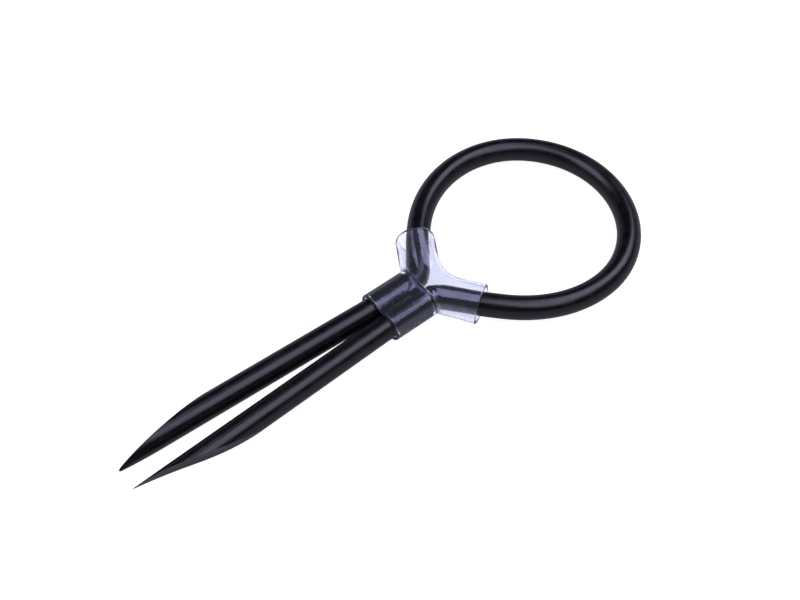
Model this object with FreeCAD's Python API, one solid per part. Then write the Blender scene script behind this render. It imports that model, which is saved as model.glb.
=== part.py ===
"""Adjustable cord loop: one solid rubber cord bent into a round loop, gathered by a clear soft sleeve
and left as two long bevelled tails.

Millimetres and degrees, +Z up. The origin is the middle of the sleeve's flat underside, and +X runs
from the tails to the loop. The two ends of the cord are its strands: they lie side by side in the
sleeve's oval collar, and part again in the two arms of its branch.
"""
import FreeCAD
import Part
import math
import os

Vector = FreeCAD.Vector
UP = Vector(0, 0, 1)
AHEAD = Vector(1, 0, 0)

# The cord.
cord_diameter = 8.0
strand_gap = 0.3  # between the two strands where they lie side by side

# The collar: an oval tube round both strands.
collar_length = 16.2
collar_wall = 1.1
bore_clearance = 0.1  # round each strand

# The branch: two round arms that grow out of the collar's oval.
arm_angle = 60.0  # of each arm from +X
arm_reach = 19.3  # from the point where the arms' axes meet to their mouths
arm_play = 1.5  # round the cord at an arm's mouth
neck_play = 0.5  # round each strand where they part
branch_wall = 1.1
saddle_radius = 13.6  # of the inner curve between the arms, seen from above
neck_depth = 5.0  # how far the oval hollow runs on into the branch

# The tails: the cord's two ends, which flex at the collar's mouth.
tail_length = 90.0  # from a tail's root to its tip
tip_thickness = 0.2
left_splay = 3.0
right_splay = 1.5
left_bevel_length = 33.0
right_bevel_length = 35.0
left_bevel_tilt = 2.0  # the cut face looks outward and this far down
right_bevel_tilt = 16.0
root_setback = 2.0  # a tail's root lies this far outside the collar's mouth
flex_gap = 0.3  # round a tail's ball-shaped root

# The loop's route on the left, from where a strand leaves the collar: how far ahead, how far out,
# and what share of the way down from the strand's height to a cord that lies on the surface.
SHOULDER_ROUTE = [
    (3.1, 0.0, 0.0),
    (8.6, 7.1, -0.2),
    (13.6, 13.3, -0.4),
    (20.7, 20.5, -0.2),
]
BOW_ROUTE = [
    (28.2, 25.6, 0.0),
    (36.4, 29.0, 0.2),
    (45.3, 30.5, 0.4),
    (54.4, 29.8, 0.6),
    (63.0, 26.6, 0.7),
    (70.5, 21.1, 0.85),
    (76.3, 13.8, 0.95),
    (80.0, 5.2, 1.0),
]
BOW_FRONT = 81.3  # how far ahead the route's middle point lies
STRAND_RUN = 3.5  # of the straight strand behind the collar's end, which the first bend counts on
RUN_SHARE = 0.45  # an arc's tangent takes this share of the shorter run beside it

cord_radius = cord_diameter / 2
strand_y = cord_radius + strand_gap / 2
lift = collar_wall + bore_clearance  # of the strands in the collar, above the surface
strand_z = cord_radius + lift
collar_front = collar_length / 2
bore_radius = cord_radius + bore_clearance
collar_radius = bore_radius + collar_wall
collar_half_width = strand_y + collar_radius
neck_radius = cord_radius + neck_play
arm_bore = cord_radius + arm_play
arm_radius = arm_bore + branch_wall
root_x = -collar_front - root_setback
rest_reach = tail_length - left_bevel_length / 2  # where a tail touches down: mid-bevel on the left


def mirrored(shape):
    """The same shape on the right of the middle plane."""
    return shape.mirror(Vector(0, 0, 0), Vector(0, 1, 0))


def arms_meet_x():
    """Where the arms' axes meet, so that their outer walls start at the collar's corners."""
    angle = math.radians(arm_angle)
    wall_x = arm_radius * math.sin(angle)
    wall_y = arm_radius * math.cos(angle)
    return collar_front + wall_x - (collar_half_width - wall_y) / math.tan(angle)


def oval(x, reach, radius):
    """A solid along +X whose section is the outline of two circles, one round each strand."""
    section = Part.makeBox(reach, 2 * strand_y, 2 * radius, Vector(x, -strand_y, strand_z - radius))
    for y in (-strand_y, strand_y):
        section = section.fuse(Part.makeCylinder(radius, reach, Vector(x, y, strand_z), AHEAD))
    return section.removeSplitter()


def collar():
    outside = oval(-collar_front, collar_length, collar_radius)
    return outside.cut(oval(-collar_front, collar_length, bore_radius))


def ellipse_wire(centre, along, half_width, half_height):
    """An upright ellipse whose plane faces along."""
    side = UP.cross(along)
    if half_width > half_height:
        curve = Part.Ellipse(centre + side * half_width, centre + UP * half_height, centre)
    else:
        curve = Part.Circle(centre, along, half_width)
    return Part.Wire(curve.toShape())


def arm(bore):
    """The left arm's outside, or its bore: an oval at the root that turns round at the mouth."""
    angle = math.radians(arm_angle)
    along = Vector(math.cos(angle), math.sin(angle), 0)
    width = arm_bore if bore else arm_radius
    height = neck_radius if bore else collar_radius
    root = ellipse_wire(Vector(arms_meet_x(), 0, strand_z), along, width, height)
    mouth_centre = Vector(arms_meet_x(), 0, arm_radius) + along * arm_reach
    mouth = ellipse_wire(mouth_centre, along, width, width)
    return Part.makeLoft([root, mouth], True, True)


def saddle(bore):
    """The bend that joins the arms inside their fork, or the hollow in it."""
    angle = math.radians(arm_angle)
    bend_radius = saddle_radius + arm_radius
    centre_x = arms_meet_x() + bend_radius / math.sin(angle)
    width = arm_bore if bore else arm_radius
    height = neck_radius if bore else collar_radius
    start = Vector(centre_x - bend_radius, 0, strand_z)
    section = Part.Face(ellipse_wire(start, Vector(0, 1, 0), width, height))
    turn = 90 - arm_angle
    section.rotate(Vector(centre_x, 0, 0), UP, -turn)
    return section.revolve(Vector(centre_x, 0, 0), UP, 2 * turn)


def ahead_of_collar(shape):
    """What lies past the collar's end face."""
    far = 4 * arm_reach
    return shape.common(Part.makeBox(far, far, far, Vector(collar_front, -far / 2, -far / 2)))


def branch():
    """The arms, the saddle and the neck as one tube: all of its outsides joined, then each bore cut."""
    wall = arm(bore=False)
    bore = arm(bore=True)
    tube_wall = oval(collar_front, neck_depth, collar_radius)
    for outside in (wall, mirrored(wall), saddle(bore=False)):
        tube_wall = tube_wall.fuse(outside)
    tube_wall = ahead_of_collar(tube_wall)
    for hollow in (oval(collar_front, neck_depth, neck_radius), bore, mirrored(bore), saddle(bore=True)):
        tube_wall = tube_wall.cut(hollow)
    return tube_wall


def route_point(ahead, out, fall):
    return Vector(collar_front + ahead, strand_y + out, strand_z - fall * lift)


def midpoint(a, b):
    return (a + b) * 0.5


def arc_path(points, start, end):
    """Straight runs joined by tangent arcs, from start to end, which lie on the first and last runs."""
    edges = []
    radii = []
    last = start
    for before, corner, after in zip(points, points[1:], points[2:]):
        back = before - corner
        on = after - corner
        tangent = RUN_SHARE * min(back.Length, on.Length)
        half_turn = (math.pi - back.getAngle(on)) / 2
        radius = tangent / math.tan(half_turn)
        back.normalize()
        on.normalize()
        arc_start = corner + back * tangent
        arc_end = corner + on * tangent
        inward = (back + on).normalize()
        top = corner + inward * (radius / math.cos(half_turn) - radius)
        edges.append(Part.LineSegment(last, arc_start).toShape())
        edges.append(Part.Arc(arc_start, top, arc_end).toShape())
        radii.append(round(radius, 1))
        last = arc_end
    edges.append(Part.LineSegment(last, end).toShape())
    return Part.Wire(edges), radii


def tube(name, points, start, end):
    """A round cord along a path of runs and arcs."""
    path, radii = arc_path(points, start, end)
    along = points[1] - points[0]
    section = Part.Wire(Part.Circle(start, along, cord_radius).toShape())
    solid = path.makePipeShell([section], True, False)
    expected = math.pi * cord_radius**2 * path.Length
    print(name, "length", round(path.Length, 1), "radii", radii, "volume share",
          round(solid.Volume / expected, 4))
    return solid


def shoulder_split():
    """Where the shoulder ends and the bow starts: the middle of the run between their routes."""
    return midpoint(route_point(*SHOULDER_ROUTE[-1]), route_point(*BOW_ROUTE[0]))


def shoulder():
    """The left strand from the collar's end, through the branch's arm, to the bow."""
    points = [route_point(-STRAND_RUN, 0, 0)]
    points += [route_point(*p) for p in SHOULDER_ROUTE + BOW_ROUTE[:1]]
    return tube("shoulder", points, route_point(0, 0, 0), shoulder_split())


def bow():
    """The loop past both shoulders."""
    left = [route_point(*p) for p in SHOULDER_ROUTE[-1:] + BOW_ROUTE]
    front = Vector(collar_front + BOW_FRONT, 0, cord_radius)
    right = [Vector(p.x, -p.y, p.z) for p in reversed(left)]
    split = shoulder_split()
    return tube("bow", left + [front] + right, split, Vector(split.x, -split.y, split.z))


def throat():
    """The left strand inside the collar, hollowed at its end to take the tail's root."""
    root = Vector(root_x, strand_y, strand_z)
    strand = Part.makeCylinder(cord_radius, collar_front - root_x, root, AHEAD)
    return strand.cut(Part.makeSphere(cord_radius + flex_gap, root))


def bevel_cutter(bevel_length, bevel_tilt):
    """What a left tail along -X, with its root at the origin, loses to its bevel."""
    tilt = math.radians(bevel_tilt)
    tip_side = Vector(0, -math.cos(tilt), math.sin(tilt))
    across = tip_side.cross(AHEAD)
    margin = cord_radius
    heel = AHEAD * (bevel_length - tail_length) - tip_side * cord_radius
    tip = AHEAD * -tail_length + tip_side * (cord_radius - tip_thickness)
    slope = (tip - heel).normalize()
    corners = [heel - slope * margin, tip + slope * margin]
    corners.append(corners[1] - tip_side * 4 * cord_radius)
    corners.append(corners[0] - tip_side * 4 * cord_radius)
    outline = Part.makePolygon([c - across * 2 * cord_radius for c in corners + corners[:1]])
    return Part.Face(outline).extrude(across * 4 * cord_radius)


def tail(splay, bevel_length, bevel_tilt):
    """A left tail: round at its root, bevelled at its end, splayed and drooping to the surface."""
    side = Vector(0, cord_radius, 0)
    end = AHEAD * -tail_length
    half_ball = math.sqrt(0.5) * cord_radius
    edges = [
        Part.Arc(AHEAD * cord_radius, Vector(half_ball, half_ball, 0), side).toShape(),
        Part.makeLine(side, end + side),
        Part.makeLine(end + side, end),
        Part.makeLine(end, AHEAD * cord_radius),
    ]
    strand = Part.Face(Part.Wire(edges)).revolve(Vector(0, 0, 0), AHEAD, 360)
    solid = strand.cut(bevel_cutter(bevel_length, bevel_tilt))
    droop = math.degrees(math.atan2(lift, rest_reach))
    solid.rotate(Vector(0, 0, 0), Vector(0, 1, 0), -droop)
    solid.rotate(Vector(0, 0, 0), UP, -splay)
    solid.translate(Vector(root_x, strand_y, strand_z))
    return solid


def main():
    os.makedirs("parts", exist_ok=True)
    parts = {
        "collar_tube": collar(),
        "branch_tube": branch(),
        "cord_bow": bow(),
        "cord_shoulder_left": shoulder(),
        "cord_shoulder_right": mirrored(shoulder()),
        "cord_throat_left": throat(),
        "cord_throat_right": mirrored(throat()),
        "tail_left": tail(left_splay, left_bevel_length, left_bevel_tilt),
        "tail_right": mirrored(tail(right_splay, right_bevel_length, right_bevel_tilt)),
    }
    for name, shape in parts.items():
        shape.exportStep(f"parts/{name}.step")
        box = shape.BoundBox
        print(name, "solids", len(shape.Solids), "valid", shape.isValid(), "volume", round(shape.Volume),
              "x", round(box.XMin, 2), round(box.XMax, 2), "y", round(box.YMin, 2), round(box.YMax, 2),
              "z", round(box.ZMin, 2), round(box.ZMax, 2))


main()
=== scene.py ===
# %% [markdown]
# # An adjustable cord loop
# One solid rubber cord is bent into a round loop. A clear, soft vinyl sleeve gathers its two strands,
# and the cord's ends run on behind the sleeve as two bevelled tails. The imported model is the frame:
# it says where the sleeve and the cord are, and this lesson builds their finished surfaces on it.

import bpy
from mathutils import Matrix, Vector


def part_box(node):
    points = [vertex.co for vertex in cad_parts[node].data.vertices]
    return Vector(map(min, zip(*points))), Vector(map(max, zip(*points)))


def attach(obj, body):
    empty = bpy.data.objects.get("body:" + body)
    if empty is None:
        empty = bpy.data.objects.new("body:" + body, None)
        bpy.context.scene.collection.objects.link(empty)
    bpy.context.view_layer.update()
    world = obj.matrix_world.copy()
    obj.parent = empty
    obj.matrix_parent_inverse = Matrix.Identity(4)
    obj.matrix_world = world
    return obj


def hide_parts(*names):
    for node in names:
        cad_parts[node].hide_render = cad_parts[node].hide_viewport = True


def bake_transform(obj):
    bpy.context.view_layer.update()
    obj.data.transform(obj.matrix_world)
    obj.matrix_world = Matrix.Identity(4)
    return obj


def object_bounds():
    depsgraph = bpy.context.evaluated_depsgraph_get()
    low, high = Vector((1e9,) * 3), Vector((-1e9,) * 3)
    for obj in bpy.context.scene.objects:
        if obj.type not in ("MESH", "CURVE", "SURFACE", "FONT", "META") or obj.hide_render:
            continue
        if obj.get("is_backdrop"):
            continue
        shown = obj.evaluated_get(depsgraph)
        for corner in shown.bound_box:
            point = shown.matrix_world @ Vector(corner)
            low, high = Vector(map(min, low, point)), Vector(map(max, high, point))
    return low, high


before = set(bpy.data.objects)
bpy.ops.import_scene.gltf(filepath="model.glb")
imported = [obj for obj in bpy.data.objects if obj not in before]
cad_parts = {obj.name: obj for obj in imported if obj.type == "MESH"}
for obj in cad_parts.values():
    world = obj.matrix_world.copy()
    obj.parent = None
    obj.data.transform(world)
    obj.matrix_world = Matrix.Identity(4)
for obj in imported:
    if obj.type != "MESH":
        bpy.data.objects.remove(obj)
cad_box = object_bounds()

# %% [markdown]
# ## Sizes that every piece shares
# The collar is the oval part of the sleeve. Its box says how high the strands lie inside it and where
# they come out. Everything is in metres, and +X runs from the tails to the loop.

# %% Shared sizes
import math

import bmesh
import bpy
import numpy as np
from mathutils import Matrix, Quaternion, Vector

MM = 0.001
collar_low, collar_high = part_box("collar_tube")
COLLAR_REAR = collar_low.x
COLLAR_FRONT = collar_high.x
COLLAR_RADIUS = collar_high.z / 2
CORD_RADIUS = 4 * MM
STRAND_Y = collar_high.y - COLLAR_RADIUS
STRAND_Z = COLLAR_RADIUS
LIFT = STRAND_Z - CORD_RADIUS
print("strands at y", round(STRAND_Y, 5), "z", round(STRAND_Z, 5))

# %% [markdown]
# ## The camera
# It looks down steeply over the tails, so that the loop lies in the upper right. An azimuth and an
# elevation round a point near the sleeve say where it stands, and a slight roll levels the picture.

# %% Camera
CAMERA_TARGET = Vector((3.80, 4.40, 0.0)) * MM
CAMERA_DISTANCE = 384.98 * MM
CAMERA_AZIMUTH = math.radians(-39.173)
CAMERA_ELEVATION = math.radians(54.10)
CAMERA_ROLL = math.radians(0.532)
CAMERA_LENS = 53.24


def direction(azimuth, elevation):
    """From the object towards something seen at an azimuth and an elevation, both in radians."""
    level = math.cos(elevation)
    return Vector((math.sin(azimuth) * level, -math.cos(azimuth) * level, math.sin(elevation)))


def place_camera():
    back = direction(CAMERA_AZIMUTH, CAMERA_ELEVATION)
    data = bpy.data.cameras.new("camera")
    data.lens = CAMERA_LENS
    made = bpy.data.objects.new("camera", data)
    bpy.context.scene.collection.objects.link(made)
    made.location = CAMERA_TARGET + back * CAMERA_DISTANCE
    made.rotation_mode = "QUATERNION"
    made.rotation_quaternion = Quaternion(back, CAMERA_ROLL) @ (-back).to_track_quat("-Z", "Y")
    bpy.context.scene.camera = made
    return made


camera = place_camera()
print("camera at", [round(v, 3) for v in camera.location])

# %% [markdown]
# ## The cord's line
# A cord like this is extruded straight, so its bends are all one easy curve. A NURBS spline is the
# right line for it: it never kinks, and it only leans towards its points. The points are the left
# half, from where a strand leaves the collar: how far ahead, how far out, and what share of the way
# down to the surface. The right half is its mirror image.

# %% Route of the loop
SHOULDER_ROUTE = [
    (0.0031, 0.0, 0.0),
    (0.0086, 0.0071, -0.2),
    (0.0136, 0.0133, -0.4),
    (0.0207, 0.0205, -0.2),
]
BOW_ROUTE = [
    (0.0282, 0.0256, 0.0),
    (0.0364, 0.0290, 0.2),
    (0.0453, 0.0305, 0.4),
    (0.0544, 0.0298, 0.6),
    (0.0630, 0.0266, 0.7),
    (0.0705, 0.0211, 0.85),
    (0.0763, 0.0138, 0.95),
    (0.0800, 0.0052, 1.0),
]
BOW_FRONT = 0.0813
STRAND_ROOT = -0.0070  # where the tails take over, just inside the collar
COLLAR_STATIONS = [STRAND_ROOT, -0.0005, 0.0046]


def route_point(ahead, out, fall):
    return Vector((COLLAR_FRONT + ahead, STRAND_Y + out, STRAND_Z - fall * LIFT))


def mirrored(points):
    return [Vector((p.x, -p.y, p.z)) for p in reversed(points)]


left_half = [Vector((x, STRAND_Y, STRAND_Z)) for x in COLLAR_STATIONS]
left_half += [route_point(*p) for p in SHOULDER_ROUTE + BOW_ROUTE]
front_point = Vector((COLLAR_FRONT + BOW_FRONT, 0, CORD_RADIUS))
route = left_half + [front_point] + mirrored(left_half)
print("route of", len(route), "points")

# %% [markdown]
# ## Reading points from a spline
# Blender turns a curve into a mesh of points along it. Spacing those points evenly gives rings of
# even length later, so the rubber's surface detail isn't stretched in one place and squeezed in
# another.

# %% Spline to even points
RING_SPACING = 0.9 * MM
SPLINE_STEPS = 24
SPLINE_ORDER = 3


def nurbs_line(points):
    """Points along a smooth spline whose control points are given."""
    data = bpy.data.curves.new("line", "CURVE")
    data.dimensions = "3D"
    data.resolution_u = SPLINE_STEPS
    spline = data.splines.new("NURBS")
    spline.points.add(len(points) - 1)
    for target, p in zip(spline.points, points):
        target.co = (*p, 1.0)
    spline.order_u = SPLINE_ORDER
    spline.use_endpoint_u = True
    holder = bpy.data.objects.new("line", data)
    line = bpy.data.meshes.new_from_object(holder)
    read = np.array([v.co for v in line.vertices], float)
    bpy.data.objects.remove(holder)
    bpy.data.curves.remove(data)
    bpy.data.meshes.remove(line)
    return read


def length_along(points):
    return np.concatenate([[0.0], np.cumsum(np.linalg.norm(np.diff(points, axis=0), axis=1))])


def evenly(points, spacing):
    """The same line with points at an even distance, close to spacing."""
    run = length_along(points)
    count = max(2, round(run[-1] / spacing) + 1)
    stations = np.linspace(0, run[-1], count)
    return np.column_stack([np.interp(stations, run, points[:, k]) for k in range(3)])


cord_line = nurbs_line(route)
print("cord from root to root", round(length_along(cord_line)[-1], 4), "m")

# %% [markdown]
# ## Skinning helpers
# Every surface here is a grid of points: rows along it and columns round it. One helper lays quads
# over a grid and writes a map in real metres, so that a finish has the same scale everywhere.
# Another turns the result into an object, with soft shading except where two faces meet sharply.

# %% Grid to mesh
MERGE_DISTANCE = 1e-6
SHARP_ANGLE = math.radians(38)


def grid_faces(bm, grid, material=None):
    """Quads over rows of points, joined round each row. material gives a face's slot from its
    column."""
    surface_map = bm.loops.layers.uv.verify()
    rows = [[bm.verts.new(p) for p in row] for row in grid]
    width = len(rows[0])
    points = np.array(grid, float)
    along = length_along(points.mean(axis=1))
    middle = points[len(points) // 2]
    across = length_along(np.vstack([middle, middle[:1]]))
    for r in range(len(rows) - 1):
        for c in range(width):
            n = (c + 1) % width
            face = bm.faces.new((rows[r][c], rows[r][n], rows[r + 1][n], rows[r + 1][c]))
            corners = ((r, c), (r, c + 1), (r + 1, c + 1), (r + 1, c))
            for loop, (row, column) in zip(face.loops, corners):
                loop[surface_map].uv = (along[row], across[column])
            if material:
                face.material_index = material(c)
    return rows


def cap(bm, ring, material_index=0):
    bm.faces.new(ring).material_index = material_index


def finish_mesh(name, bm):
    """Merges doubled points, turns faces outward and returns a linked object."""
    bmesh.ops.remove_doubles(bm, verts=bm.verts, dist=MERGE_DISTANCE)
    bmesh.ops.dissolve_degenerate(bm, edges=bm.edges, dist=MERGE_DISTANCE)
    bmesh.ops.recalc_face_normals(bm, faces=bm.faces)
    for face in bm.faces:
        face.smooth = True
    for edge in bm.edges:
        edge.smooth = edge.calc_face_angle(0) < SHARP_ANGLE
    open_edges = sum(1 for edge in bm.edges if not edge.is_manifold)
    mesh = bpy.data.meshes.new(name)
    bm.to_mesh(mesh)
    bm.free()
    made = bpy.data.objects.new(name, mesh)
    bpy.context.scene.collection.objects.link(made)
    print(name, "faces", len(mesh.polygons), "open edges", open_edges)
    return made


# %% [markdown]
# ## The loop
# The loop is the middle of the cord, from the collar's front, out through one arm of the sleeve,
# round, and back through the other. A ring of points rides along the line, level at every place, and
# the rings are skinned.

# %% Loop of the cord
CORD_SIDES = 56
LINE_REFINE = 3  # finer spacing before the line is cut at the collar's front


def rings_along(points, radius):
    """A level ring round each point of a line that stays nearly level."""
    points = np.array(points, float)
    tangents = np.gradient(points, axis=0)
    tangents /= np.linalg.norm(tangents, axis=1)[:, None]
    sides = np.cross(np.array([0.0, 0.0, 1.0]), tangents)
    sides /= np.linalg.norm(sides, axis=1)[:, None]
    ups = np.cross(tangents, sides)
    angles = np.linspace(0, 2 * math.pi, CORD_SIDES, endpoint=False) - math.pi / 2
    outward = np.cos(angles)[None, :, None] * sides[:, None, :]
    upward = np.sin(angles)[None, :, None] * ups[:, None, :]
    return points[:, None, :] + radius * (outward + upward)


def cord_piece(name, points):
    bm = bmesh.new()
    rows = grid_faces(bm, rings_along(points, CORD_RADIUS))
    cap(bm, rows[0])
    cap(bm, rows[-1])
    return finish_mesh(name, bm)


even_line = evenly(cord_line, RING_SPACING / LINE_REFINE)
loop_line = evenly(even_line[even_line[:, 0] >= COLLAR_FRONT], RING_SPACING)
loop_cord = cord_piece("loop_cord", loop_line)
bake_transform(loop_cord)
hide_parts("cord_bow", "cord_shoulder_left", "cord_shoulder_right")
print("loop of", round(length_along(loop_line)[-1], 4), "m")

# %% [markdown]
# ## The strands in the collar
# Inside the collar the cord's two strands lie side by side and straight. They are pieces of their own,
# from where the tails take over to where the loop begins.


def strand_piece(name, side, node):
    start = (STRAND_ROOT, side * STRAND_Y, STRAND_Z)
    end = (loop_line[0][0], side * abs(loop_line[0][1]), loop_line[0][2])
    points = evenly(np.array([start, end]), RING_SPACING)
    made = cord_piece(name, points)
    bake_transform(made)
    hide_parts(node)
    return made


strand_left = strand_piece("strand_left", 1, "cord_throat_left")
strand_right = strand_piece("strand_right", -1, "cord_throat_right")

# %% [markdown]
# ## The tails
# Each end of the cord is sliced off at a long slant with a blade, which leaves a round back, a flat
# cut face and a thin tip. A hand-held blade starts shallow, dives and levels out again, so the cut's
# depth follows a gentle S. A row of points goes round the back and then straight across the cut, and
# the two corners of every row make the crisp edge. Towards the tip the rows are pinched along a
# circle's arc, so that the tip ends round, not square. The back keeps the rubber's smooth skin, and
# the cut face shows the duller inside.

# %% Tails
TAIL_ROOT = Vector((-0.0101, STRAND_Y, STRAND_Z))
TAIL_LENGTH = 0.0900
TAIL_SPACING = 0.7 * MM
TOUCHDOWN = 0.0735  # from a tail's root to where its middle line is down at the cord's radius
TAIL_DROOP = math.atan2(LIFT, TOUCHDOWN)
FACET_COLUMNS = 8
UNCUT_REACH = math.pi - 1e-6  # of the back's half angle, past which no cut shows yet
# so that the declared line ends short of the tip
LINE_SHARE = 0.94  # of the rows, so that the tail's middle line ends short of the tip
BEND_START_X = -0.0085
BEND_END_X = -0.0130
TAILS = {
    "left": {
        "side": 1, "splay": math.radians(3.0), "bevel": 0.037, "tilt": math.radians(2.0),
        "tip": 0.45 * MM, "s_curve": 0.10, "pinch": 0.22, "pinch_length": 0.0150,
    },
    "right": {
        "side": -1, "splay": math.radians(1.5), "bevel": 0.040, "tilt": math.radians(16.0),
        "tip": 0.15 * MM, "s_curve": 0.40, "pinch": 0.12, "pinch_length": 0.0120,
    },
}


def smoothstep(share):
    share = np.clip(share, 0, 1)
    return share * share * (3 - 2 * share)


def tail_rows(shape):
    """Rows of a left tail along -X, before it splays: the round back, then the cut face."""
    tip_side = np.array([0.0, -math.cos(shape["tilt"]), math.sin(shape["tilt"])])
    across = np.cross(tip_side, np.array([1.0, 0.0, 0.0]))
    tip_x = TAIL_ROOT.x - TAIL_LENGTH
    stations = np.linspace(STRAND_ROOT, tip_x, round((STRAND_ROOT - tip_x) / TAIL_SPACING) + 1)
    centre = np.array([0.0, TAIL_ROOT.y, TAIL_ROOT.z])
    rows = []
    for x in stations:
        share = np.clip(1 - (x - tip_x) / shape["bevel"], 0, 1)
        depth = share - shape["s_curve"] * math.sin(2 * math.pi * share) / (2 * math.pi)
        cut = -CORD_RADIUS + depth * (2 * CORD_RADIUS - shape["tip"])
        reach = math.acos(max(-1.0, min(1.0, cut / CORD_RADIUS)))
        blunt = min(1.0, (x - tip_x) / shape["pinch_length"])
        pinch = shape["pinch"] + (1 - shape["pinch"]) * math.sqrt(blunt * (2 - blunt))
        back = np.linspace(-reach, reach, CORD_SIDES + 1)
        heights = np.concatenate([np.cos(back) * CORD_RADIUS, np.full(FACET_COLUMNS - 1, cut)])
        edge = math.sin(reach) * CORD_RADIUS
        cut_widths = np.linspace(edge, -edge, FACET_COLUMNS + 1)[1:-1]
        widths = np.concatenate([np.sin(back) * CORD_RADIUS, cut_widths])
        if reach > UNCUT_REACH:
            heights[-FACET_COLUMNS + 1:] = -CORD_RADIUS
            widths[-FACET_COLUMNS + 1:] = 0
        row = heights[:, None] * tip_side + pinch * widths[:, None] * across + centre
        row[:, 0] = x
        rows.append(row)
    return np.array(rows)


def turned(rows, shape):
    """The rows bent down and outward at the tail's root, gently."""
    share = smoothstep((BEND_START_X - rows[..., 0]) / (BEND_START_X - BEND_END_X))
    offset = rows - np.array(TAIL_ROOT)
    for first, second, angle in ((0, 2, TAIL_DROOP), (0, 1, -shape["splay"])):
        cosine = np.cos(angle * share)
        sine = np.sin(angle * share)
        a = offset[..., first].copy()
        b = offset[..., second].copy()
        offset[..., first] = a * cosine - b * sine
        offset[..., second] = a * sine + b * cosine
    return offset + np.array(TAIL_ROOT)


def tail_piece(name, shape, node):
    side = shape["side"]
    rows = turned(tail_rows(shape), shape)
    rows[..., 1] *= side
    bm = bmesh.new()
    skinned = grid_faces(bm, rows, material=lambda c: 1 if c > CORD_SIDES else 0)
    cap(bm, skinned[0])
    cap(bm, skinned[-1], 1)
    made = finish_mesh(name, bm)
    line = rows[:, :CORD_SIDES].mean(axis=1)
    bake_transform(made)
    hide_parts(node)
    return made, line


for hand, shape in TAILS.items():
    made, line = tail_piece(f"tail_cord_{hand}", shape, f"tail_{hand}")
    shape["piece"] = made
    shape["line"] = evenly(line[: round(len(line) * LINE_SHARE)], RING_SPACING)
    print(made.name, "of", round(length_along(shape["line"])[-1], 4), "m")

# %% [markdown]
# ## The collar
# The collar is a short length of soft oval tube. Its outline is the line round two circles, one for
# each strand, joined by flats. One closed profile goes out along the wall, over the front lip, back
# inside and over the rear lip, and the outline carries it round. The lips are rounded a little, which
# is what makes a cut edge of clear vinyl catch the light as a bright ring.
#
# Soft vinyl is stretched on rubber, so away from the lips the inner skin closes on the strands, and
# the top sinks between them. The sinking fades out towards the branch, where the two pieces have to
# meet at one height. A thin seam is left open on each side of their joint.

# %% Collar
WALL = 1.1 * MM
COLLAR_GRIP = 0.12 * MM  # how far the soft wall closes in, just past the strands' clearance
RIM_FREE = 0.6 * MM  # of the wall at each end, which flares clear of the strands
VALLEY = 0.95 * MM  # how far the top sinks between the strands
VALLEY_FADE = 5 * MM  # from the front, over which the sinking fades out
ON_TOP = 0.999  # of a direction's height, which only the upper flat has
SAME_DEPTH = 1e-9
SEAM = 0.12 * MM  # each side of the joint between the collar and the branch
LIP = 0.45 * MM
LIP_STEPS = 5
WALL_STEPS = 40
OUTLINE_ARC_STEPS = 40
OUTLINE_FLAT_STEPS = 24


def wall_profile(length, lip):
    """(along, offset inward) round the wall's section, from the rear of the outer skin."""
    quarter = np.linspace(0, math.pi / 2, LIP_STEPS)[1:]
    profile = [(x, 0.0) for x in np.linspace(lip, length - lip, WALL_STEPS)]
    profile += [(length - lip + lip * math.sin(a), lip - lip * math.cos(a)) for a in quarter]
    profile += [(length - lip + lip * math.cos(a), WALL - lip + lip * math.sin(a)) for a in quarter]
    profile += [(x, WALL) for x in np.linspace(length - lip, lip, WALL_STEPS)][1:]
    profile += [(lip - lip * math.sin(a), WALL - lip + lip * math.cos(a)) for a in quarter]
    profile += [(lip - lip * math.cos(a), lip - lip * math.sin(a)) for a in quarter][:-1]
    return profile


def collar_outline():
    """(centre y, direction y, direction z) round the oval."""
    outline = []
    for side in (1, -1):
        start = -math.pi / 2 if side == 1 else math.pi / 2
        for a in start + np.linspace(0, math.pi, OUTLINE_ARC_STEPS, endpoint=False):
            outline.append((side * STRAND_Y, math.cos(a), math.sin(a)))
        for y in np.linspace(side * STRAND_Y, -side * STRAND_Y, OUTLINE_FLAT_STEPS, endpoint=False):
            outline.append((y, 0.0, float(side)))
    return outline


def collar_piece():
    length = COLLAR_FRONT - SEAM - COLLAR_REAR
    profile = wall_profile(length, LIP)
    outline = np.array(collar_outline())
    between = np.clip(np.abs(outline[:, 0]) / STRAND_Y, 0, 1)
    sunk = VALLEY * (0.5 + 0.5 * np.cos(math.pi * between)) * (outline[:, 2] > ON_TOP)
    rows = []
    for along, inward in profile + profile[:1]:
        held = smoothstep((min(along, length - along) - RIM_FREE) / RIM_FREE)
        grip = COLLAR_GRIP * held if inward > WALL - SAME_DEPTH else 0
        fade = smoothstep((length - along) / VALLEY_FADE)
        radius = COLLAR_RADIUS - inward - grip
        row = np.empty((len(outline), 3))
        row[:, 0] = COLLAR_REAR + along
        row[:, 1] = outline[:, 0] + outline[:, 1] * radius
        row[:, 2] = STRAND_Z + outline[:, 2] * radius - sunk * fade
        rows.append(row)
    bm = bmesh.new()
    grid_faces(bm, rows)
    return finish_mesh("collar_sleeve", bm)


collar_sleeve = collar_piece()
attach(collar_sleeve, "sleeve")
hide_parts("collar_tube")

# %% [markdown]
# ## The branch
# Ahead of the collar the sleeve is one moulded piece that parts into two round arms, like a pair of
# trousers, with a soft web between them. Joining tubes with booleans would leave hard seams, so the
# skin is found instead: a rule says how high the piece stands at any place on the plan, and rays shot
# outward from the middle of each leg stop where that rule is met. The three legs share their rays
# where they meet, so the skin closes without a seam. The inner skin is found the same way, a wall's
# thickness in. The wall is drawn thinner where the arms part, which keeps the bent cord clear of it.

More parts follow.
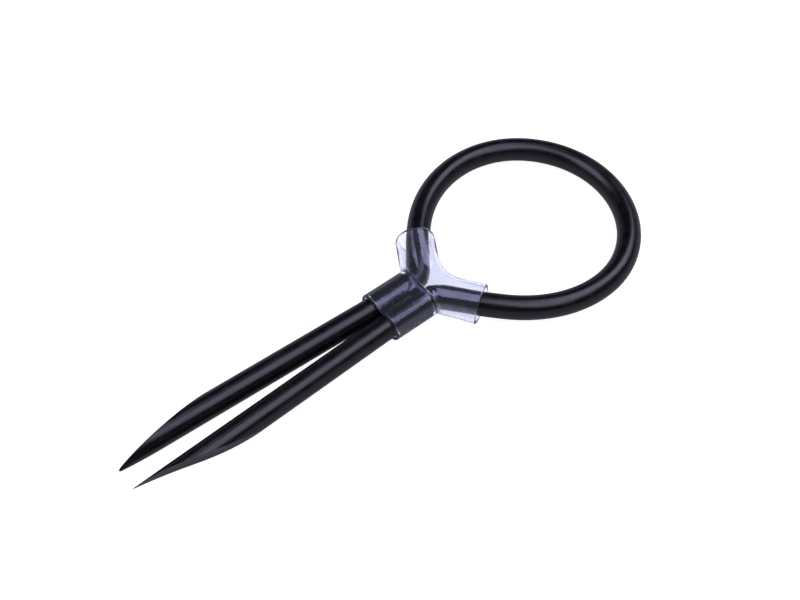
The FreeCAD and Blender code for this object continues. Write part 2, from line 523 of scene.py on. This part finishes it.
# %% Branch: the rule for its skin
ARM_ANGLE = math.radians(60)
ARM_REACH = 0.0193
ARM_RADIUS = 6.6 * MM
WEB_BLEND = 7.2 * MM
NECK_BLEND = 2.5 * MM
BLEND_RUN = 6 * MM
NECK_RUN = 4 * MM  # ahead of the collar, over which the round edge widens to an arm's
NECK_REACH = 6.5 * MM  # how far ahead of the collar the neck's own strip goes on into the fork
SPINE_ROUND = 4 * MM
THIN_WALL = 0.85 * MM
THIN_UNTIL = 10 * MM  # along an arm, before the wall thickens towards the mouth
SMALLEST_BLEND = 1e-7
RAY_REACH = 30 * MM
HALVINGS = 40
ARMS_MEET_X = COLLAR_FRONT + ARM_RADIUS * math.sin(ARM_ANGLE)
ARMS_MEET_X -= (collar_high.y - ARM_RADIUS * math.cos(ARM_ANGLE)) / math.tan(ARM_ANGLE)
ARM_ALONG = np.array([math.cos(ARM_ANGLE), math.sin(ARM_ANGLE)])


def soft_min(a, b, blend):
    """The smaller of two distances, with the corner between them filled."""
    blend = np.maximum(blend, SMALLEST_BLEND)
    overlap = np.maximum(blend - np.abs(a - b), 0) / blend
    return np.minimum(a, b) - overlap * overlap * blend / 4


def beyond_arm(x, y):
    """How far a place on the plan lies outside the left arm's strip."""
    along = np.maximum((x - ARMS_MEET_X) * ARM_ALONG[0] + y * ARM_ALONG[1], 0)
    return np.hypot(x - ARMS_MEET_X - along * ARM_ALONG[0], y - along * ARM_ALONG[1]) - ARM_RADIUS


def skin_rule(x, y):
    """Distance outside the plan's outline, the half height there, and the width of the round edge."""
    ahead = smoothstep((x - COLLAR_FRONT) / BLEND_RUN)
    neck = np.maximum(np.abs(y) - collar_high.y, x - COLLAR_FRONT - NECK_REACH)
    arms = soft_min(beyond_arm(x, y), beyond_arm(x, -y), WEB_BLEND * ahead)
    outside = soft_min(arms, neck, NECK_BLEND * ahead)
    spine = np.sqrt(y * y + SPINE_ROUND * SPINE_ROUND) - SPINE_ROUND
    out = (x - ARMS_MEET_X) * ARM_ALONG[0] + spine * ARM_ALONG[1]
    share = np.clip(out / (ARM_REACH - SPINE_ROUND * ARM_ALONG[1]), 0, 1)
    height = COLLAR_RADIUS + (ARM_RADIUS - COLLAR_RADIUS) * share
    edge = COLLAR_RADIUS + (ARM_RADIUS - COLLAR_RADIUS) * smoothstep((x - COLLAR_FRONT) / NECK_RUN)
    return outside, height, edge


def inside_skin(points, inward):
    """Whether points lie inside the skin by more than a distance inward."""
    outside, height, edge = skin_rule(points[..., 0], points[..., 1])
    share = np.clip((outside + edge) / (edge - inward), 0, 1)
    level = (height - inward) * np.sqrt(1 - share * share)
    return (np.abs(points[..., 2] - height) < level) & (outside < -inward)


def along_arm(x, y):
    """How far out along an arm a place on the plan lies, on either side of the middle plane."""
    return (x - ARMS_MEET_X) * ARM_ALONG[0] + np.abs(y) * ARM_ALONG[1]


def wall_at(x, y):
    """The wall, which is drawn thinner where the arms part and full at their mouths."""
    thick = smoothstep((along_arm(x, y) - THIN_UNTIL) / (ARM_REACH - THIN_UNTIL))
    return THIN_WALL + (WALL - THIN_WALL) * thick


def ray_hits(origins, rays, share):
    """Where each ray leaves the skin, or a share of the way in through its wall, found by halving."""
    near = np.zeros(rays.shape[:-1])
    far = np.full(rays.shape[:-1], RAY_REACH)
    for _ in range(HALVINGS):
        middle = (near + far) / 2
        points = origins + rays * middle[..., None]
        held = inside_skin(points, share * wall_at(points[..., 0], points[..., 1]))
        near = np.where(held, middle, near)
        far = np.where(held, far, middle)
    return origins + rays * near[..., None]


print("arms meet at x", round(ARMS_MEET_X, 5))

# %% Branch: legs and lips
FORK_X = 0.0138  # on the middle plane, where the three legs' shared rays start
LEG_SIDES = 96
ARM_STATIONS = 34
NECK_STATIONS = 16
BRANCH_LIP = 0.20 * MM
SHARED_PLANES = (0, 120, -120)  # in degrees on the plan, where two legs meet


def level_vector(angle):
    return np.array([math.cos(angle), math.sin(angle), 0.0])


def leg_rows(end, end_along, near_sides, stations):
    """Rows of one leg's wall: the outer skin from the fork to the mouth, the lip, and the inner skin
    back to the fork. near_sides are the directions of the planes it shares with the other legs."""
    fork = np.array([FORK_X, 0.0, STRAND_Z])
    along = np.array([*end_along, 0.0])
    quarter_left = np.array([-along[1], along[0], 0.0])
    angles = np.linspace(0, 2 * math.pi, LEG_SIDES, endpoint=False)
    up = np.sin(angles)[:, None] * np.array([0.0, 0.0, 1.0])
    width = np.abs(np.cos(angles))[:, None]
    on_left = (np.cos(angles) > 0)[:, None]
    near = up + width * np.where(on_left, near_sides[0], near_sides[1])
    far = up + width * np.where(on_left, quarter_left, -quarter_left)
    run = list(np.linspace(0, 1, stations))
    quarter = np.linspace(0, math.pi / 2, LIP_STEPS)[1:]
    lip = BRANCH_LIP
    edge = lip / WALL
    profile = [(s, 0.0, 0.0) for s in run[:-1]] + [(1.0, -lip, 0.0)]
    profile += [(1.0, -lip + lip * math.sin(a), edge - edge * math.cos(a)) for a in quarter]
    profile += [(1.0, -lip + lip * math.cos(a), 1 - edge + edge * math.sin(a)) for a in quarter]
    profile += [(s, 0.0, 1.0) for s in reversed(run[:-1])]
    rows = []
    for share, shift, inward in profile:
        eased = smoothstep(share)
        origin = fork + (np.array(end) - fork) * share + along * shift
        rays = near * (1 - eased) + far * eased
        rows.append(ray_hits(np.broadcast_to(origin, rays.shape), rays, inward))
    return rows


def branch_piece():
    bm = bmesh.new()
    mouth = np.array([ARMS_MEET_X, 0.0]) + ARM_ALONG * ARM_REACH
    ahead, left_rear, right_rear = (level_vector(math.radians(a)) for a in SHARED_PLANES)
    left_along = ARM_ALONG
    right_along = ARM_ALONG * np.array([1, -1])
    left_end = (mouth[0], mouth[1], ARM_RADIUS)
    right_end = (mouth[0], -mouth[1], ARM_RADIUS)
    neck_end = (COLLAR_FRONT + SEAM, 0.0, STRAND_Z)
    grid_faces(bm, leg_rows(left_end, left_along, (left_rear, ahead), ARM_STATIONS))
    grid_faces(bm, leg_rows(right_end, right_along, (ahead, right_rear), ARM_STATIONS))
    grid_faces(bm, leg_rows(neck_end, (-1.0, 0.0), (right_rear, left_rear), NECK_STATIONS))
    return finish_mesh("branch_sleeve", bm)


branch_sleeve = branch_piece()
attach(branch_sleeve, "sleeve")
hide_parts("branch_tube")

# %% Clearance of the cord in the branch
CLEARANCE_STEP = 0.05 * MM
CLEARANCE_STEPS = 11

cord_points = np.array([v.co for v in loop_cord.data.vertices], float)
in_branch = cord_points[along_arm(cord_points[:, 0], cord_points[:, 1]) < ARM_REACH]
inner = wall_at(in_branch[:, 0], in_branch[:, 1])
steps = np.arange(1, CLEARANCE_STEPS + 1) * CLEARANCE_STEP
clear = [step for step in steps if inside_skin(in_branch, inner + step).all()]
print("cord clears the branch's inner skin by at least", round(max(clear, default=0) / MM, 2), "mm")

# %% [markdown]
# ## Rubber
# Solid rubber cord is nearly black and takes a soft, broad highlight. Its skin carries faint lines
# from the extruder's die, a little mottling and a fine grain. The map in metres lets noise be drawn
# out along the cord for the lines. The cut faces are the same rubber without its skin: duller, a
# shade lighter, and combed across by the blade.

# %% Finishing helpers
BUMP_STRENGTH = 0.5
NOISE_MIDDLE = (0.35, 0.65)  # the part of a noise's values that is spread over a range


def new_material(name):
    made = bpy.data.materials.new(name)
    made.use_nodes = True
    nodes = made.node_tree.nodes
    shader = nodes["Principled BSDF"]
    return made, nodes, made.node_tree.links, shader


def noise_on_map(nodes, links, stretch_along, stretch_across, detail):
    """Noise over the map in metres, with its own number of cells a metre each way."""
    surface_map = nodes.new("ShaderNodeUVMap")
    mapping = nodes.new("ShaderNodeMapping")
    mapping.inputs["Scale"].default_value = (stretch_along, stretch_across, 1)
    links.new(surface_map.outputs["UV"], mapping.inputs["Vector"])
    noise = nodes.new("ShaderNodeTexNoise")
    noise.inputs["Scale"].default_value = 1.0
    noise.inputs["Detail"].default_value = detail
    links.new(mapping.outputs["Vector"], noise.inputs["Vector"])
    return noise


def noise_in_space(nodes, links, cells, detail):
    """Noise through the piece itself, in cells a metre."""
    place = nodes.new("ShaderNodeTexCoord")
    noise = nodes.new("ShaderNodeTexNoise")
    noise.inputs["Scale"].default_value = cells
    noise.inputs["Detail"].default_value = detail
    links.new(place.outputs["Object"], noise.inputs["Vector"])
    return noise


def ranged(nodes, links, source, low, high):
    """A noise value spread over a range."""
    spread = nodes.new("ShaderNodeMapRange")
    spread.inputs["From Min"].default_value = NOISE_MIDDLE[0]
    spread.inputs["From Max"].default_value = NOISE_MIDDLE[1]
    spread.inputs["To Min"].default_value = low
    spread.inputs["To Max"].default_value = high
    links.new(source, spread.inputs["Value"])
    return spread.outputs["Result"]


def coloured(nodes, links, source, dark, light):
    """A colour between two, by a value."""
    mix = nodes.new("ShaderNodeMix")
    mix.data_type = "RGBA"
    mix.inputs["A"].default_value = (*dark, 1)
    mix.inputs["B"].default_value = (*light, 1)
    links.new(source, mix.inputs["Factor"])
    return mix.outputs["Result"]


def bumped(nodes, links, shader, heights):
    """Chains bumps, each (height, distance in metres), into the shader's normal."""
    last = None
    for height, distance in heights:
        bump = nodes.new("ShaderNodeBump")
        bump.inputs["Distance"].default_value = distance
        bump.inputs["Strength"].default_value = BUMP_STRENGTH
        links.new(height, bump.inputs["Height"])
        if last:
            links.new(last.outputs["Normal"], bump.inputs["Normal"])
        last = bump
    links.new(last.outputs["Normal"], shader.inputs["Normal"])


# %% Rubber finish
MOTTLE_CELLS = 220
GRAIN_CELLS = 2600
GRAIN_DEPTH = 0.005 * MM
RUBBER_IOR = 1.5
RUBBER_SPECULAR = 0.5
SKIN_DARK = (0.0016, 0.0014, 0.0022)
SKIN_LIGHT = (0.0040, 0.0035, 0.0052)
CUT_DARK = (0.020, 0.018, 0.026)
CUT_LIGHT = (0.040, 0.036, 0.050)


def rubber(name, dark, light, rough, line_scale, line_depth):
    made, nodes, links, shader = new_material(name)
    mottle = noise_in_space(nodes, links, MOTTLE_CELLS, detail=4)
    lines = noise_on_map(nodes, links, *line_scale, detail=3)
    grain = noise_in_space(nodes, links, GRAIN_CELLS, detail=2)
    tone = ranged(nodes, links, mottle.outputs["Fac"], 0, 1)
    links.new(coloured(nodes, links, tone, dark, light), shader.inputs["Base Color"])
    links.new(ranged(nodes, links, mottle.outputs["Fac"], *rough), shader.inputs["Roughness"])
    shader.inputs["Specular IOR Level"].default_value = RUBBER_SPECULAR
    shader.inputs["IOR"].default_value = RUBBER_IOR
    heights = [(lines.outputs["Fac"], line_depth), (grain.outputs["Fac"], GRAIN_DEPTH)]
    bumped(nodes, links, shader, heights)
    print(name, "roughness from", rough[0], "to", rough[1])
    return made


cord_skin = rubber(
    "cord_rubber", SKIN_DARK, SKIN_LIGHT, rough=(0.25, 0.31), line_scale=(60, 1400), line_depth=0.01 * MM
)
cord_cut = rubber(
    "cut_rubber", CUT_DARK, CUT_LIGHT, rough=(0.46, 0.58), line_scale=(2600, 120), line_depth=0.04 * MM
)
for piece in (loop_cord, strand_left, strand_right):
    piece.data.materials.append(cord_skin)
for shape in TAILS.values():
    shape["piece"].data.materials.append(cord_skin)
    shape["piece"].data.materials.append(cord_cut)

# %% [markdown]
# ## Clear vinyl
# Soft vinyl is clear with a faint violet-blue cast, which shows most where it is looked through
# edgewise, at the lips. It is glass-like but softer, so its reflections are a touch blurred, and its
# surface ripples slightly along the way it was drawn. A little of the tint sits on the surface, and
# the rest is absorbed on the way through, so that a thick place is deeper.

# %% Vinyl finish
CLEAR_SHARE = 0.98
VINYL_IOR = 1.50
VINYL_TINT = (0.93, 0.945, 1.0)
DEPTH_TINT = (0.42, 0.48, 0.86)
SHEEN_TINT = (0.72, 0.78, 1.0)
RIPPLE_CELLS = 160
HAZE_CELLS = 500
VINYL_LINE_DEPTH = 0.01 * MM


def vinyl(name, density, rough, line_scale, ripple_depth):
    made, nodes, links, shader = new_material(name)
    lines = noise_on_map(nodes, links, *line_scale, detail=2)
    ripple = noise_in_space(nodes, links, RIPPLE_CELLS, detail=2)
    haze = noise_in_space(nodes, links, HAZE_CELLS, detail=4)
    shader.inputs["Base Color"].default_value = (*VINYL_TINT, 1)
    shader.inputs["Transmission Weight"].default_value = CLEAR_SHARE
    shader.inputs["IOR"].default_value = VINYL_IOR
    shader.inputs["Specular Tint"].default_value = (*SHEEN_TINT, 1)
    depth = nodes.new("ShaderNodeVolumeAbsorption")
    depth.inputs["Color"].default_value = (*DEPTH_TINT, 1)
    depth.inputs["Density"].default_value = density
    links.new(depth.outputs["Volume"], nodes["Material Output"].inputs["Volume"])
    links.new(ranged(nodes, links, haze.outputs["Fac"], *rough), shader.inputs["Roughness"])
    heights = [(lines.outputs["Fac"], VINYL_LINE_DEPTH), (ripple.outputs["Fac"], ripple_depth)]
    bumped(nodes, links, shader, heights)
    print(name, "absorbs", density, "a metre, clear share", CLEAR_SHARE)
    return made


collar_vinyl = vinyl(
    "collar_vinyl", density=130, rough=(0.02, 0.06), line_scale=(1200, 60), ripple_depth=0.10 * MM
)
branch_vinyl = vinyl(
    "branch_vinyl", density=110, rough=(0.01, 0.05), line_scale=(90, 900), ripple_depth=0.14 * MM
)
collar_sleeve.data.materials.append(collar_vinyl)
branch_sleeve.data.materials.append(branch_vinyl)

# %% [markdown]
# ## Floor and light
# The surface below is a white light table, so that clear vinyl has something bright behind it and
# shadows stay faint. A long soft lamp hangs to the right and draws the main streak along the
# rubber, two more pick out the rest of the loop, and the surroundings are dark overhead and pale low
# down. The floor looks bright but glows less in reflections, so the rubber's edges stay dark.

# %% Floor
FLOOR_HALF = 3.0
FLOOR_DROP = 0.02 * MM
FLOOR_COLOUR = (0.40, 0.40, 0.41)
FLOOR_ROUGHNESS = 0.6
GLOW_SEEN = 0.95
GLOW_REFLECTED = 0.10


def floor_piece():
    bm = bmesh.new()
    corners = ((-1, -1), (1, -1), (1, 1), (-1, 1))
    bm.faces.new([bm.verts.new((x * FLOOR_HALF, y * FLOOR_HALF, -FLOOR_DROP)) for x, y in corners])
    mesh = bpy.data.meshes.new("floor")
    bm.to_mesh(mesh)
    bm.free()
    made = bpy.data.objects.new("floor", mesh)
    bpy.context.scene.collection.objects.link(made)
    return made


floor = floor_piece()
floor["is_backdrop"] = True
floor_white, floor_nodes, floor_links, floor_shader = new_material("floor_white")
floor_shader.inputs["Base Color"].default_value = (*FLOOR_COLOUR, 1)
floor_shader.inputs["Roughness"].default_value = FLOOR_ROUGHNESS
floor_shader.inputs["Specular IOR Level"].default_value = 0.0
floor_shader.inputs["Emission Color"].default_value = (1.0, 1.0, 1.0, 1)
ray = floor_nodes.new("ShaderNodeLightPath")
glow = floor_nodes.new("ShaderNodeMapRange")
glow.inputs["To Min"].default_value = GLOW_SEEN
glow.inputs["To Max"].default_value = GLOW_REFLECTED
only_reflected = floor_nodes.new("ShaderNodeMath")
only_reflected.operation = "SUBTRACT"
only_reflected.use_clamp = True
floor_links.new(ray.outputs["Is Glossy Ray"], only_reflected.inputs[0])
floor_links.new(ray.outputs["Is Transmission Ray"], only_reflected.inputs[1])
floor_links.new(only_reflected.outputs["Value"], glow.inputs["Value"])
floor_links.new(glow.outputs["Result"], floor_shader.inputs["Emission Strength"])
floor.data.materials.append(floor_white)
print("floor glows", GLOW_SEEN, "seen and", GLOW_REFLECTED, "in reflections")

# %% Lamps
LAMP_HEIGHT = 0.60
LAMP_COLOUR = (0.78, 0.75, 1.0)


def strip_lamp(name, start, end, width, radiance):
    """A strip of light between two places on the plan, turned to face the sleeve."""
    first = Vector((*start, LAMP_HEIGHT))
    last = Vector((*end, LAMP_HEIGHT))
    data = bpy.data.lights.new(name, "AREA")
    data.shape = "RECTANGLE"
    data.size = (last - first).length
    data.size_y = width
    data.energy = radiance * math.pi * data.size * data.size_y
    data.color = LAMP_COLOUR
    made = bpy.data.objects.new(name, data)
    bpy.context.scene.collection.objects.link(made)
    made.location = (first + last) / 2
    back = made.location.normalized()
    along = (last - first).normalized()
    across = back.cross(along).normalized()
    along = across.cross(back)
    made.matrix_world = Matrix((
        (along.x, across.x, back.x, made.location.x),
        (along.y, across.y, back.y, made.location.y),
        (along.z, across.z, back.z, made.location.z),
        (0, 0, 0, 1),
    ))
    print(name, "power", round(data.energy, 2), "W")


strip_lamp("right_strip", start=(0.26, -0.02), end=(0.70, -0.02), width=0.42, radiance=3.5)
strip_lamp("left_strip", start=(0.00, 0.12), end=(-0.54, 0.32), width=0.38, radiance=3.1)
strip_lamp("near_strip", start=(0.20, -0.42), end=(-0.03, 0.03), width=0.42, radiance=2.7)

# %% Surroundings
LOW_COLOUR = (0.55, 0.55, 0.60)
OVERHEAD_COLOUR = (0.018, 0.018, 0.024)
OVERHEAD_FROM = 0.36  # a direction's height, 0 when level and 1 when straight up

world = bpy.data.worlds.new("surroundings")
bpy.context.scene.world = world
world.use_nodes = True
sky_nodes = world.node_tree.nodes
sky_links = world.node_tree.links
background = sky_nodes["Background"]
place = sky_nodes.new("ShaderNodeTexCoord")
split = sky_nodes.new("ShaderNodeSeparateXYZ")
sky_links.new(place.outputs["Generated"], split.inputs["Vector"])
height_ramp = sky_nodes.new("ShaderNodeValToRGB")
low, overhead = height_ramp.color_ramp.elements
low.position = 0.0
low.color = (*LOW_COLOUR, 1)
overhead.position = OVERHEAD_FROM
overhead.color = (*OVERHEAD_COLOUR, 1)
sky_links.new(split.outputs["Z"], height_ramp.inputs["Fac"])
sky_links.new(height_ramp.outputs["Color"], background.inputs["Color"])
bpy.context.scene.view_settings.view_transform = "Standard"
print("surroundings fade from pale when level to dark at a height of", OVERHEAD_FROM)

# %% [markdown]
# ## Sizes at the end
# The finished surfaces have to fill the same box as the imported model, so both boxes are printed
# side by side.

# %% Print both boxes and finish
seen_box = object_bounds()
for corner, cad, seen in zip(("low", "high"), cad_box, seen_box):
    print(corner, "model", [round(v, 5) for v in cad], "finished", [round(v, 5) for v in seen])
